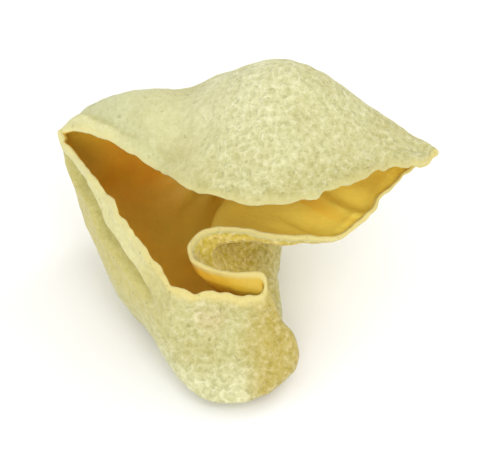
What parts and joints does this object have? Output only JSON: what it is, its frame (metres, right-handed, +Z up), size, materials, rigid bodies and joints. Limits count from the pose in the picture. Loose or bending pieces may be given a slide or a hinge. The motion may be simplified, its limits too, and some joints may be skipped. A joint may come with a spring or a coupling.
{
  "type": "wood ear mushroom",
  "caption": "Dried wood ear mushroom, a thin leathery fruit body curled into a hooded cup, velvety cream outside and smooth golden brown inside.",
  "frame": {"origin": "on the small flat patch under the cup, on the surface that the ear rests on", "axes": "+X towards the right-hand tip of the mouth, -Y out of the mouth, +Z up"},
  "size_m": [0.0619, 0.0519, 0.0369],
  "materials": {
    "flesh": "dry and matte: pale cream velvet felt outside, smooth golden to orange-brown skin inside, thin pale rim"
  },
  "bodies": {
    "root": {"ear": "flesh"}
  },
  "joints": []
}
